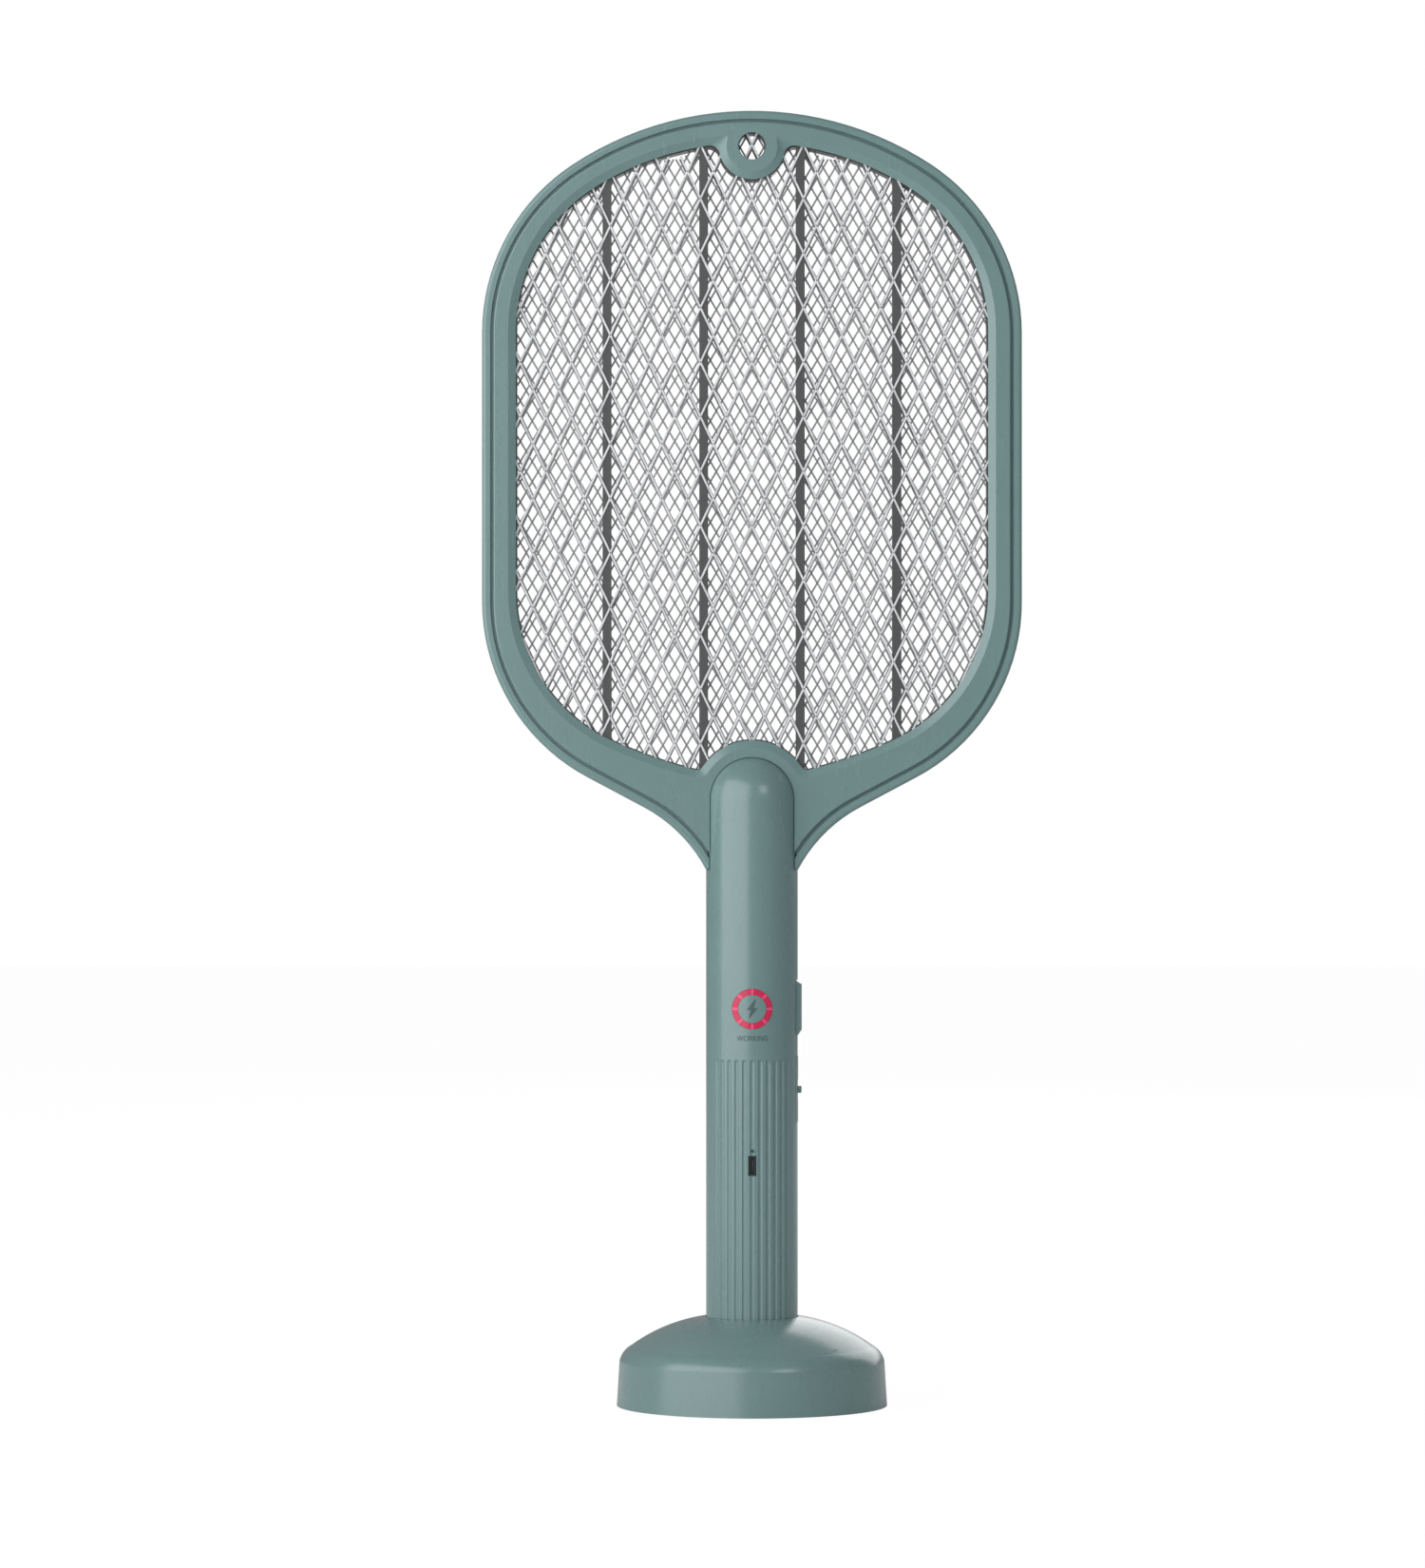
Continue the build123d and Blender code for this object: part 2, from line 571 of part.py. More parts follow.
def indicator_disc():
    plug = rod("Y", RING_INNER_R - 0.1, (0, RING_Z), -HANDLE_R - 2, -HANDLE_R + 4.5)
    return plug & rod("Z", HANDLE_R + 0.05, (0, 0), RING_Z - 20, RING_Z + 20)


def main_board():
    board = block((-BOARD_HALF, BOARD_HALF), (BOARD_FRONT, BOARD_BACK), BOARD_Z)
    board -= rod("Y", POST_R + 0.3, (0, POST_ZS[1]), BOARD_FRONT - 1, BOARD_BACK + 1)
    for x, z in BOARD_POSTS:
        board -= rod("Y", 1.0, (x, z), BOARD_FRONT - 1, BOARD_BACK + 1)
    return board


def board_screws():
    screws = []
    for x, z in BOARD_POSTS:
        screw = rod("Y", 0.7, (x, z), BOARD_FRONT - 2.0, BOARD_BACK) + rod("Y", 1.7, (x, z), BOARD_BACK, BOARD_BACK + 1.1)
        screws.append(screw - block((x - 1.2, x + 1.2), (BOARD_BACK + 0.6, BOARD_BACK + 2), (z - 0.25, z + 0.25)))
    return screws


def board_leds():
    """Eight chips under the indicator ring and one under the charge light."""
    middle = (RING_OUTER_R + RING_INNER_R) / 2
    chips = []
    for step in range(8):
        x, z = turned(0, RING_Z, step * 45.0, middle)
        chips.append(block((x - 0.8, x + 0.8), (BOARD_FRONT - CHIP, BOARD_FRONT), (z - 0.8, z + 0.8)))
    chips.append(block((-0.8, 0.8), (BOARD_FRONT - CHIP, BOARD_FRONT), (CHARGE_Z - 0.8, CHARGE_Z + 0.8)))
    return chips


def usb_socket():
    width, height = USB_SIZE
    mouth = -HANDLE_R + 1.2
    shell = block((-width / 2, width / 2), (mouth, BOARD_FRONT), (USB_Z - height / 2, USB_Z + height / 2))
    shell = fillet(shell.edges().filter_by(Axis.Y), 0.6)
    inner = block((-width / 2 + 0.35, width / 2 - 0.35), (mouth, mouth + 4.4),
                  (USB_Z - height / 2 + 0.35, USB_Z + height / 2 - 0.35))
    tab = block((-0.1, 0.5), (mouth + 1.2, mouth + 4.6), (USB_Z - 2.3, USB_Z + 2.3))
    return shell - inner + tab


def transformer_core():
    """E-core pair: a closed frame with a middle leg."""
    frame = block((-9.5, 4.5), (BOARD_BACK + 0.2, BOARD_BACK + 10.2), (136, 152))
    for low, high in ((-7.0, -4.2), (-0.8, 2.0)):
        frame -= block((low, high), (BOARD_BACK - 1, BOARD_BACK + 12), (139, 149))
    return frame + block((-9.5, -7.5), (BOARD_BACK, BOARD_BACK + 0.2), (138, 150))


def transformer_winding():
    outer = block((-6.8, 1.8), (BOARD_BACK + 0.2, BOARD_BACK + 12.2), (139.2, 148.8))
    leg = block((-4.3, -0.7), (BOARD_BACK - 1, BOARD_BACK + 10.3), (130, 160))
    sleeve = outer - leg
    top = block((-6.8, 1.8), (BOARD_BACK + 10.4, BOARD_BACK + 12.2), (139.2, 148.8))
    return (sleeve & block((-7, 2), (BOARD_BACK, BOARD_BACK + 12.2), (139.2, 148.8))) + top


def capacitors():
    bodies = []
    for step in range(3):
        z = 156.5 + 6.0 * step
        body = block((-6.5, 5.5), (BOARD_BACK, BOARD_BACK + 9.0), (z, z + 5.0))
        bodies.append(fillet(body.edges().filter_by(Axis.Y), 1.2))
    return bodies


def battery_cell():
    body = rod("Z", CELL_R, (0, CELL_Y), CELL_Z, CELL_Z + CELL_LENGTH - 1.5)
    body = fillet(body.edges(), 0.8)
    return body + rod("Z", 3.0, (0, CELL_Y), CELL_Z + CELL_LENGTH - 1.6, CELL_Z + CELL_LENGTH)


def battery_contacts():
    """Plate and strip at each end of the cell; the lower strip runs up past the cell to the board."""
    thick = 0.4
    strip_y = (CELL_Y - CELL_R - 1.4, CELL_Y - CELL_R - 1.0)
    top_z = CELL_Z + CELL_LENGTH
    lower = block((-3, 3), (strip_y[0], CELL_Y + 4), (CELL_Z - thick, CELL_Z))
    lower += block((-3, 3), strip_y, (CELL_Z - thick, BOARD_Z[0] + 2))
    lower += block((-3, 3), (BOARD_BACK, strip_y[1]), (BOARD_Z[0] + 2, BOARD_Z[0] + 2 + thick))
    upper = block((-4, 4), (BOARD_BACK, CELL_Y + 4), (top_z, top_z + thick))
    return [lower, upper]


def side_board():
    """Small upright board behind the button and the slide switch."""
    return block((SIDE_BOARD_X, SIDE_BOARD_X + BOARD_THICK), (BOARD_BACK, 7.0), SIDE_BOARD_Z)


BUTTON_MID = sum(BUTTON_Z) / 2
SIDE_FACE = SIDE_BOARD_X + BOARD_THICK
FLANGE_IN = 13.0


STEM_LENGTH = 2.2


def tact_switch():
    """Switch body, its top clear of the button's flange at the end of the travel."""
    top = FLANGE_IN - BUTTON_TRAVEL - PART_GAP
    body = block((SIDE_FACE, top), (-3, 3), (BUTTON_MID - 3, BUTTON_MID + 3))
    return body - rod("X", 1.7, (0, BUTTON_MID), FLANGE_IN - STEM_LENGTH - BUTTON_TRAVEL - PART_GAP, top)


def switch_stem():
    return rod("X", 1.6, (0, BUTTON_MID), FLANGE_IN - STEM_LENGTH, FLANGE_IN)


def push_button():
    low, high = BUTTON_Z
    crown = block((FLANGE_IN + 1.6, HANDLE_R + BUTTON_PROUD + 1), (-BUTTON_HALF, BUTTON_HALF), (low, high))
    crown &= rod("Z", HANDLE_R + BUTTON_PROUD, (0, 0), low - 1, high + 1)
    lip = crown.edges().filter_by(GeomType.CIRCLE)
    outer = [e for e in lip if abs(e.center().X) > HANDLE_R - 1 and e.radius > HANDLE_R]
    crown = chamfer(outer, BUTTON_PROUD - 0.25, BUTTON_SLOPE)
    flange = block((FLANGE_IN, FLANGE_IN + 1.6), (-5.8, 5.8), (low - 2, high + 2))
    return crown + flange


def switch_plate():
    low, high = PLATE_Z
    plate = block((10, HANDLE_R + 2), (-PLATE_HALF, PLATE_HALF), (low, high))
    plate &= rod("Z", HANDLE_R + PLATE_PROUD, (0, 0), low - 1, high + 1)
    plate -= rod("Z", HANDLE_R - PLATE_DEPTH, (0, 0), low - 1, high + 1)
    slot = KNOB_HEIGHT / 2 + KNOB_TRAVEL + CLEAR
    return plate - block((10, HANDLE_R + 2), (-KNOB_HALF - CLEAR, KNOB_HALF + CLEAR), (KNOB_Z - slot, KNOB_Z + slot))


def slide_switch_body():
    body = block((SIDE_FACE, 13.0), (-2.2, 2.2), (KNOB_Z - 6, KNOB_Z + 6))
    slot = 1.0 + KNOB_TRAVEL + CLEAR
    return body - block((10.2, 14), (-1.0 - CLEAR, 1.0 + CLEAR), (KNOB_Z - slot, KNOB_Z + slot))


def slide_knob():
    lever = block((10.5, 16.2), (-1.0, 1.0), (KNOB_Z - 1, KNOB_Z + 1))
    shield = block((15.6, 16.6), (-3.2, 3.2), (KNOB_Z - 5.5, KNOB_Z + 5.5))
    top = block((16.5, HANDLE_R + KNOB_PROUD), (-KNOB_HALF, KNOB_HALF),
                (KNOB_Z - KNOB_HEIGHT / 2, KNOB_Z + KNOB_HEIGHT / 2))
    top = fillet(top.faces().sort_by(Axis.X)[-1].edges(), 0.5)
    return lever + shield + top


def lead(x, y):
    """Insulated lead from the board's top up into the head."""
    start_y = BOARD_BACK + LEAD_R
    points = [(x, start_y, 176), (x, start_y, 190), (x, y, 212), (x, y, DOME_Z + ARCH_R - 1.4)]
    if abs(y - start_y) < 1:
        points = points[:1] + points[-1:]
    path = FilletPolyline(*points, radius=18)
    return sweep(Plane(path @ 0, z_dir=path % 0) * Circle(LEAD_R), path)


save("indicator_ring", indicator_ring())
save("indicator_disc", indicator_disc())
save("charge_light", rod("Y", CHARGE_R, (0, CHARGE_Z), -HANDLE_R + 0.1, BOARD_FRONT - CHIP - 0.1))
save("main_board", main_board())
save("board_screws", board_screws())
save("board_leds", board_leds())
save("usb_socket", usb_socket())
save("transformer_core", transformer_core())
save("transformer_winding", transformer_winding())
save("hv_capacitors", capacitors())
save("battery_cell", battery_cell())
save("battery_contacts", battery_contacts())
save("side_board", side_board())
save("tact_switch", tact_switch())
save("switch_stem", switch_stem())
save("push_button", push_button())
save("switch_plate", switch_plate())
save("slide_switch_body", slide_switch_body())
save("slide_knob", slide_knob())
save("live_lead", lead(*LEADS[0]))
save("guard_lead", lead(*LEADS[1]))


# ---------------- stand ----------------
def stand_profile(inset):
    """Half section of the stand's outside, moved inwards by inset; closed at the axis."""
    low = STAND_FOOT_Z
    wall_top = (STAND_WALL_R - inset, STAND_WALL_TOP)
    shoulder = (STAND_SHOULDER[0] - inset * 0.8, STAND_SHOULDER[1] - inset * 0.6)
    dome = (STAND_DOME[0] - inset * 0.4, STAND_DOME[1] - inset * 0.9)
    rim = (HANDLE_R - 2.0, STAND_TOP - inset)
    mid = ((wall_top[0] + shoulder[0]) / 2 + 0.7, (wall_top[1] + shoulder[1]) / 2 + 0.4)
    edges = [
        Line((0, low), (STAND_FOOT_R - inset, low)),
        Line((STAND_FOOT_R - inset, low), wall_top),
        ThreePointArc(wall_top, mid, shoulder),
        ThreePointArc(shoulder, dome, rim),
        Line(rim, (0, rim[1])),
        Line((0, rim[1]), (0, low)),
    ]
    return revolve(Plane.XZ * make_face(edges), Axis.Z)


def stand_spots(radius=STAND_SCREW_PCD_R, turn=45.0):
    return [turned(0, 0, turn + 90.0 * step, radius) for step in range(4)]


SOCKET_R = HANDLE_R + SOCKET_CLEAR
PLATE_TOP = STAND_FOOT_Z + 2.4


def stand_shell():
    cavity = stand_profile(STAND_WALL)
    socket = rod("Z", SOCKET_R + SOCKET_WALL, (0, 0), SOCKET_FLOOR[0], STAND_TOP - 1.5)
    bosses = [rod("Z", STAND_BOSS_R, (x, y), PLATE_TOP, STAND_SHOULDER[1] + 1.5) for x, y in stand_spots()]
    shell = stand_profile(0.0) - cavity + socket + bosses
    shell -= rod("Z", SOCKET_R, (0, 0), SOCKET_FLOOR[1], STAND_TOP + 5)
    for x, y in stand_spots():
        shell -= rod("Z", 1.1, (x, y), PLATE_TOP - 1, PLATE_TOP + 9)
    return shell


def stand_floor():
    plate = rod("Z", STAND_FOOT_R - STAND_WALL - 0.3, (0, 0), STAND_FOOT_Z, PLATE_TOP)
    for x, y in stand_spots():
        plate -= rod("Z", 1.5, (x, y), 0, 5) + rod("Z", 2.9, (x, y), 0, STAND_FOOT_Z + 1.3)
    for x, y in stand_spots(turn=0.0):
        plate -= rod("Z", FOOT_R + 0.1, (x, y), 0, FOOT_THICK)
    return plate


def stand_screws():
    screws = []
    for x, y in stand_spots():
        head = rod("Z", 2.6, (x, y), STAND_FOOT_Z + 0.2, STAND_FOOT_Z + 1.3)
        screw = head + rod("Z", 1.1, (x, y), STAND_FOOT_Z + 1.3, PLATE_TOP + 8)
        cross = block((x - 1.8, x + 1.8), (y - 0.3, y + 0.3), (0, STAND_FOOT_Z + 0.8))
        cross += block((x - 0.3, x + 0.3), (y - 1.8, y + 1.8), (0, STAND_FOOT_Z + 0.8))
        screws.append(screw - cross)
    return screws


def ballast():
    ring = rod("Z", BALLAST_R, (0, 0), PLATE_TOP, PLATE_TOP + BALLAST_THICK)
    return ring - rod("Z", SOCKET_R + SOCKET_WALL + 0.5, (0, 0), 0, 30)


def feet():
    return [rod("Z", FOOT_R, (x, y), 0, FOOT_THICK) for x, y in stand_spots(turn=0.0)]


save("stand_shell", stand_shell())
save("stand_floor", stand_floor())
save("stand_screws", stand_screws())
save("ballast_ring", ballast())
save("stand_feet", feet())
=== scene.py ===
"""Looks of a racket bug zapper in its round stand: grids, printed marks, finishes, studio and camera."""

import math

import bmesh
import bpy
import numpy as np
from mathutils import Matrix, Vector


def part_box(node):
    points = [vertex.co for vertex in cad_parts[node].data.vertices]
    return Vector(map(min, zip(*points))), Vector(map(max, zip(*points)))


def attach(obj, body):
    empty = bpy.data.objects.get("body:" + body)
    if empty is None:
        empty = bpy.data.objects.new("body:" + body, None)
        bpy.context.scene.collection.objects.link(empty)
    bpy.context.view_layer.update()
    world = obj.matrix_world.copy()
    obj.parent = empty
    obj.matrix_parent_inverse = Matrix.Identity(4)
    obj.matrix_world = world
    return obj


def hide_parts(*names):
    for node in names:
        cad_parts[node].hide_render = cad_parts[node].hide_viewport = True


bl_info = {
    "name": "Bug Zapper Racket",
    "version": (1, 0, 0),
    "blender": (4, 5, 0),
    "location": "View3D > Sidebar > Zapper",
    "description": "Builds the grids, marks, finishes and studio of a racket bug zapper",
    "category": "Object",
}

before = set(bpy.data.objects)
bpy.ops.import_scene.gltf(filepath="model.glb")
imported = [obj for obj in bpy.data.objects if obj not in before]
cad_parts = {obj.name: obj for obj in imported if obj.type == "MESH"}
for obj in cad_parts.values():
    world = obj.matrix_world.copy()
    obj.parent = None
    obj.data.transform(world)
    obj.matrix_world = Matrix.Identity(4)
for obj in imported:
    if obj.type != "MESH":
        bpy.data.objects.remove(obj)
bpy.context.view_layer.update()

SHELL_NODES = ("head_front_frame", "head_rear_frame", "handle_front_shell", "handle_rear_shell",
               "handle_end_cap", "switch_plate", "push_button", "slide_knob", "stand_shell", "indicator_disc")
STEEL_NODES = ("head_screws", "handle_screws", "board_screws", "stand_screws", "battery_contacts",
               "ballast_ring")
BLACK_NODES = ("carrier_front", "carrier_rear", "tact_switch", "switch_stem", "slide_switch_body")

# Shape of the opening in the head, in metres, as in the moulded frame.
OPEN_HALF = 0.0962
OPEN_TOP = 0.5151
OPEN_CROWN_R = 0.121
OPEN_SHOULDER_R = 0.069
OPEN_HIP_Z = 0.332
OPEN_HIP_R = 0.0665
OPEN_HIP_TURN = math.radians(65.6)
OPEN_FLOOR_R = 0.199
DOME_Z = 0.2475
ARCH_R = 0.0241
BOSS_Z = 0.5135
BOSS_PAD = 0.0072
HANDLE_R = 0.0187

# Grids: a sheet's thickness, how far it runs on under the rim, and the bars of its strands.
GUARD_THICK = 0.0006
GUARD_OUTSET = 0.0022
LIVE_THICK = 0.0005
LIVE_OUTSET = 0.0015
SHEET_REACH = 0.29         # rows of diamonds are laid out this far each way, past the opening
BAR_SIDES = 6
CLIP_HALVINGS = 8          # finds a strand's end to 1/256 of its length
SHORTEST_SHARE = 0.02      # a clipped strand shorter than this share of itself is left out

# Printed marks, in metres.
WORD_DROP = 0.0119         # word below the middle of the lamp
WORD_WIDE = 0.0128
WORD_TALL = 0.0022
WORD_LIFT = 0.00004        # ink above the surface
BOLT_LIFT = 0.00009
BOLT_CELLS = 6             # cells along each side of a blade
BOLT_BLADES = (((0.0012, 0.0040), (-0.0024, -0.0005), (0.0015, 0.0035), (0.0004, -0.0002)),
               ((-0.0012, -0.0040), (0.0024, 0.0005), (-0.0015, -0.0035), (-0.0004, 0.0002)))

LAMP_CHIPS = 8.0           # chips under the ring

# Studio, in metres: each lamp's place, width and height.
KEY_BOX = ((-1.16, -1.10, 0.55), 2.5, 2.2)
RIGHT_FILL = ((1.3, -2.2, 1.4), 0.9, 0.9)
BACK_FILL = ((0.9, 2.0, 1.1), 2.2, 1.6)
BACK_FILL_SHARE = 2.5      # of a fill lamp's power
LAMP_TARGET = (0, 0, 0.3)
SENSOR_WIDTH = 36.0
FLOOR_HALF = 6
SKY_TINT = (0.78, 0.80, 0.82, 1.0)
SKY_STRENGTH = 0.30
WHITE = (1.0, 1.0, 1.0, 1.0)
PAPER_COLOUR = (0.80, 0.80, 0.80, 1.0)
PAPER_GLOW = 1.035
PAPER_SHARE = 0.94         # of the glow in what the camera sees; the rest shows the shadow


# ---------------------------------------------------------------- settings
def length(name, description, default):
    return bpy.props.FloatProperty(name=name, description=description, default=default,
                                   unit="LENGTH", precision=5)


def colour(name, description, default):
    return bpy.props.FloatVectorProperty(name=name, description=description, default=default, size=3,
                                         subtype="COLOR", min=0.0, max=1.0)


class ZapperShellSettings(bpy.types.PropertyGroup):
    """Finish of the moulded shells."""

    plastic: colour("Shell colour", "Moulded colour of head, handle and stand", (0.180, 0.300, 0.296))
    carrier: colour("Carrier colour", "Colour of the ribs and rings that hold the grids", (0.075, 0.076, 0.078))
    lamp: colour("Lamp colour", "Colour of the lit indicator ring", (0.68, 0.022, 0.095))
    ink: colour("Ink colour", "Colour of the printed word and the bolt", (0.045, 0.085, 0.088))


class ZapperGridSettings(bpy.types.PropertyGroup):
    """Sizes of the expanded metal grids."""

    guard_width: length("Guard mesh width", "Width of one guard diamond", 0.0105)
    guard_height: length("Guard mesh height", "Height of one guard diamond", 0.0222)
    guard_strand: length("Guard strand", "Width of a guard strand", 0.00085)
    rear_strand: length("Rear guard strand", "Width of a strand of the rear guard", 0.0015)
    live_width: length("Live mesh width", "Width of one live diamond", 0.00485)
    live_height: length("Live mesh height", "Height of one live diamond", 0.00827)
    live_strand: length("Live strand", "Width of a live strand", 0.00074)
    metal: colour("Metal colour", "Colour of the grid metal", (0.62, 0.63, 0.64))


class ZapperStudioSettings(bpy.types.PropertyGroup):
    """Camera and lamps."""

    camera_distance: length("Camera distance", "From the handle's axis to the camera", 2.5)
    camera_height: length("Camera height", "Height of the camera above the floor", 0.2538)
    camera_side: length("Camera side", "Sideways place of the camera", -0.0161)
    focal_length: bpy.props.FloatProperty(name="Focal length", description="Lens in millimetres",
                                          default=140.6)
    key_power: bpy.props.FloatProperty(name="Key power", description="Watts of the large soft box",
                                       default=34.0)
    fill_power: bpy.props.FloatProperty(name="Fill power", description="Watts of the right fill lamp",
                                        default=6.0)


# ---------------------------------------------------------------- node helpers
def new_material(name):
    material = bpy.data.materials.new(name)
    material.use_nodes = True
    tree = material.node_tree
    tree.nodes.clear()
    output = tree.nodes.new("ShaderNodeOutputMaterial")
    shader = tree.nodes.new("ShaderNodeBsdfPrincipled")
    tree.links.new(shader.outputs[0], output.inputs[0])
    return material, tree, shader


def add(tree, kind, inputs=None, **settings):
    """Adds a node, sets its properties, and sets or links its inputs."""
    node = tree.nodes.new(kind)
    for key, value in settings.items():
        setattr(node, key, value)
    for key, value in (inputs or {}).items():
        if isinstance(value, bpy.types.NodeSocket):
            tree.links.new(value, node.inputs[key])
        else:
            node.inputs[key].default_value = value
    return node


def noise(tree, scale, detail=3.0, roughness=0.55, stretch=(1.0, 1.0, 1.0)):
    """Noise on Object coordinates, stretched along the axes."""
    place = add(tree, "ShaderNodeTexCoord").outputs["Object"]
    mapped = add(tree, "ShaderNodeMapping", {"Vector": place, "Scale": stretch}).outputs[0]
    texture = add(tree, "ShaderNodeTexNoise", {"Vector": mapped, "Scale": scale, "Detail": detail,
                                               "Roughness": roughness})
    return texture.outputs["Fac"]


def ramp(tree, value, low, high, out_low, out_high):
    """Maps a value from one range to another, clamped."""
    return add(tree, "ShaderNodeMapRange", {"Value": value, "From Min": low, "From Max": high,
                                            "To Min": out_low, "To Max": out_high}).outputs[0]


def blend_colours(tree, factor, first, second):
    node = add(tree, "ShaderNodeMix", data_type="RGBA")
    tree.links.new(factor, node.inputs[0])
    node.inputs[6].default_value = (*first, 1.0)
    node.inputs[7].default_value = (*second, 1.0)
    return node.outputs[2]


def bump(tree, height, strength, distance):
    return add(tree, "ShaderNodeBump", {"Height": height, "Strength": strength,
                                        "Distance": distance}).outputs[0]


def shade(colour_value, factor):
    return tuple(min(1.0, c * factor) for c in colour_value)


# ---------------------------------------------------------------- finishes
def moulded_plastic(name, base, rough=0.25, grain=0.10, coat=0.7):
    """Satin moulded plastic: spark-eroded grain, faint mottling, handling marks that dull the sheen."""
    material, tree, shader = new_material(name)
    mottle = ramp(tree, noise(tree, 26.0, 4.0), 0.3, 0.7, 0.0, 1.0)
    tree.links.new(blend_colours(tree, mottle, shade(base, 0.965), shade(base, 1.03)),
                   shader.inputs["Base Color"])
    rub = noise(tree, 60.0, 6.0, 0.7, (1.0, 1.0, 0.25))
    tree.links.new(ramp(tree, rub, 0.35, 0.75, rough - 0.03, rough + 0.08), shader.inputs["Roughness"])
    tree.links.new(bump(tree, noise(tree, 2600.0, 2.0), grain, 0.00006), shader.inputs["Normal"])
    shader.inputs["Coat Weight"].default_value = coat
    shader.inputs["Coat Roughness"].default_value = 0.22
    return material


def grid_metal(name, base, rough, metallic=0.75):
    """Bright sheared steel with streaks along the strands and dull patches."""
    material, tree, shader = new_material(name)
    patches = ramp(tree, noise(tree, 180.0, 4.0), 0.35, 0.7, 0.0, 1.0)
    tree.links.new(blend_colours(tree, patches, shade(base, 0.82), shade(base, 1.08)),
                   shader.inputs["Base Color"])
    streaks = noise(tree, 900.0, 3.0, 0.6, (1.0, 1.0, 0.3))
    tree.links.new(ramp(tree, streaks, 0.3, 0.7, rough - 0.06, rough + 0.12), shader.inputs["Roughness"])
    tree.links.new(bump(tree, streaks, 0.25, 0.00005), shader.inputs["Normal"])
    shader.inputs["Metallic"].default_value = metallic
    return material


def turned_steel(name):
    """Plated screw and contact steel."""
    material, tree, shader = new_material(name)
    patches = ramp(tree, noise(tree, 220.0, 5.0), 0.3, 0.7, 0.0, 1.0)
    tree.links.new(blend_colours(tree, patches, (0.42, 0.42, 0.43), (0.62, 0.62, 0.61)),
                   shader.inputs["Base Color"])
    tree.links.new(ramp(tree, noise(tree, 700.0), 0.3, 0.7, 0.22, 0.42), shader.inputs["Roughness"])
    tree.links.new(bump(tree, noise(tree, 1500.0), 0.2, 0.00004), shader.inputs["Normal"])
    shader.inputs["Metallic"].default_value = 1.0
    return material


def lit_ring(name, base, centre_z):
    """Red light guide over a ring of chips: the glow peaks above each chip, as a cosine of the angle."""
    material, tree, shader = new_material(name)
    place = add(tree, "ShaderNodeTexCoord").outputs["Object"]
    axes = add(tree, "ShaderNodeSeparateXYZ", {0: place}).outputs
    rise = add(tree, "ShaderNodeMath", {0: axes[2], 1: centre_z}, operation="SUBTRACT").outputs[0]
    angle = add(tree, "ShaderNodeMath", {0: rise, 1: axes[0]}, operation="ARCTAN2").outputs[0]
    spun = add(tree, "ShaderNodeMath", {0: angle, 1: LAMP_CHIPS}, operation="MULTIPLY").outputs[0]
    wave = add(tree, "ShaderNodeMath", {0: spun}, operation="COSINE").outputs[0]
    spot = ramp(tree, wave, 0.7, 1.0, 0.0, 0.75)
    tint = blend_colours(tree, spot, shade(base, 0.92), (0.95, 0.12, 0.26))
    tree.links.new(tint, shader.inputs["Base Color"])
    tree.links.new(tint, shader.inputs["Emission Color"])
    shader.inputs["Emission Strength"].default_value = 0.12
    tree.links.new(ramp(tree, noise(tree, 400.0), 0.3, 0.7, 0.16, 0.26), shader.inputs["Roughness"])
    tree.links.new(bump(tree, noise(tree, 1200.0), 0.08, 0.00005), shader.inputs["Normal"])
    return material


def simple_finish(name, base, rough, metallic=0.0, scale=300.0):
    """Small inner pieces: colour with mottling, roughness variation and a fine bump."""
    material, tree, shader = new_material(name)
    mottle = ramp(tree, noise(tree, scale), 0.3, 0.7, 0.0, 1.0)
    tree.links.new(blend_colours(tree, mottle, shade(base, 0.85), shade(base, 1.12)),
                   shader.inputs["Base Color"])
    tree.links.new(ramp(tree, noise(tree, scale * 2.0), 0.3, 0.7, rough - 0.06, rough + 0.08),
                   shader.inputs["Roughness"])
    tree.links.new(bump(tree, noise(tree, scale * 5.0), 0.15, 0.00005), shader.inputs["Normal"])
    shader.inputs["Metallic"].default_value = metallic
    return material


def board_finish(name):
    """Green solder mask with faint tracks."""
    material, tree, shader = new_material(name)
    place = add(tree, "ShaderNodeTexCoord").outputs["Object"]
    tracks = add(tree, "ShaderNodeTexBrick", {"Vector": place, "Scale": 160.0, "Mortar Size": 0.03,
                                              "Color1": (0.012, 0.10, 0.035, 1.0),
                                              "Color2": (0.015, 0.13, 0.045, 1.0),
                                              "Mortar": (0.03, 0.20, 0.08, 1.0)})
    tree.links.new(tracks.outputs["Color"], shader.inputs["Base Color"])
    tree.links.new(bump(tree, tracks.outputs["Fac"], 0.2, 0.00005), shader.inputs["Normal"])
    tree.links.new(ramp(tree, noise(tree, 500.0), 0.3, 0.7, 0.25, 0.4), shader.inputs["Roughness"])
    return material


def dress(node_names, material):
    """Gives CAD nodes one material in every slot."""
    for name in node_names:
        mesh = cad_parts[name].data
        mesh.materials.clear()
        mesh.materials.append(material)


# ---------------------------------------------------------------- mesh helpers
def middle_height(node):
    low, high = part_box(node)
    return (low[2] + high[2]) / 2


def make_piece(name, vertices, faces, material):
    """New mesh object at the origin that rides on the racket."""
    mesh = bpy.data.meshes.new(name)
    mesh.from_pydata(vertices.tolist(), [], faces)
    mesh.update()
    mesh.materials.append(material)
    return ride_racket(name, mesh)


def ride_racket(name, mesh):
    piece = bpy.data.objects.new(name, mesh)
    bpy.context.scene.collection.objects.link(piece)
    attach(piece, "racket")
    return piece


